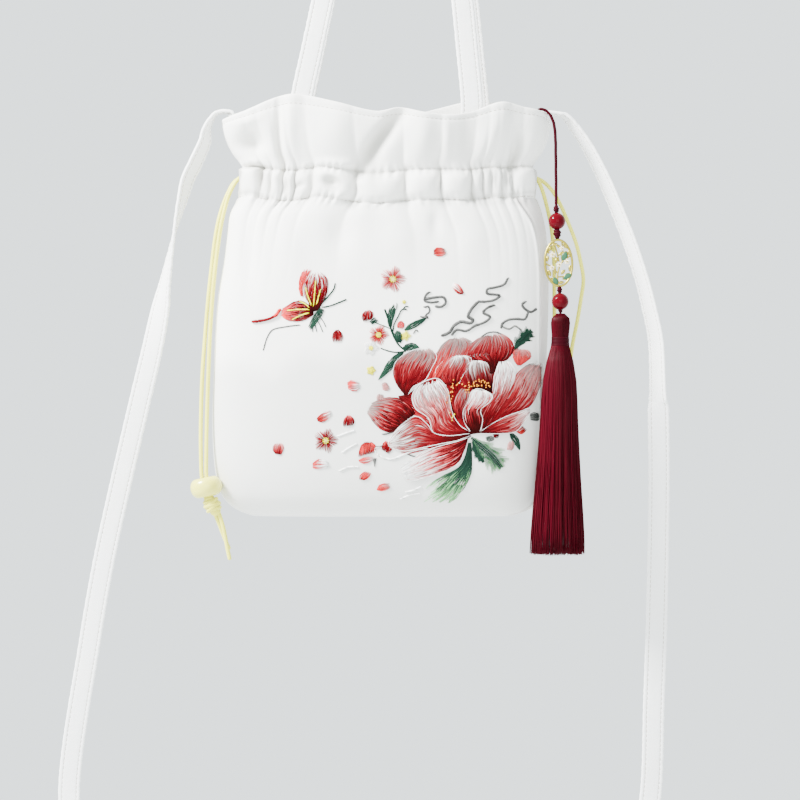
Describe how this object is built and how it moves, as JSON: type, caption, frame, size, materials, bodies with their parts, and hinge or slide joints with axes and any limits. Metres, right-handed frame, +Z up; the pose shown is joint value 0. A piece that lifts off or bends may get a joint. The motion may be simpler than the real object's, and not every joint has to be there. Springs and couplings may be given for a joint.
{
  "type": "embroidered drawstring purse",
  "caption": "White drawstring purse with a gathered neck, two carrying handles, a long shoulder strap, drawcords with beads and a red silk tassel pendant.",
  "frame": {"origin": "the hang point: the underside of the two handles' arched tops, side by side", "axes": "+Z up, -Y is the embroidered front, +X to the right as seen from the front"},
  "size_m": [0.367, 0.0737, 0.688],
  "materials": {
    "pouch_cloth": "matt white satin-weave cloth",
    "band_cloth": "matt white folded and topstitched cloth",
    "yellow_cord": "smooth pale yellow cord",
    "cream_bead": "polished pale wood",
    "red_silk": "glossy dark red silk thread",
    "red_glass": "polished opaque red glass",
    "charm_gold": "bright pale gold"
  },
  "bodies": {
    "root": {"pouch": "pouch_cloth", "handle_front": "band_cloth", "handle_back": "band_cloth", "shoulder_strap": "band_cloth", "drawcord_left_front": "yellow_cord", "drawcord_left_back": "yellow_cord", "drawcord_right_front": "yellow_cord", "drawcord_right_back": "yellow_cord", "cord_bead_left": "cream_bead", "cord_knot_left": "yellow_cord", "cord_bead_right": "cream_bead", "cord_knot_right": "yellow_cord", "tassel_cord": "red_silk", "tassel_thread_upper": "red_silk", "tassel_bead_upper": "red_glass", "charm": "charm_gold", "tassel_thread_lower": "red_silk", "tassel_bead_lower": "red_glass", "tassel": "red_silk"}
  },
  "joints": []
}
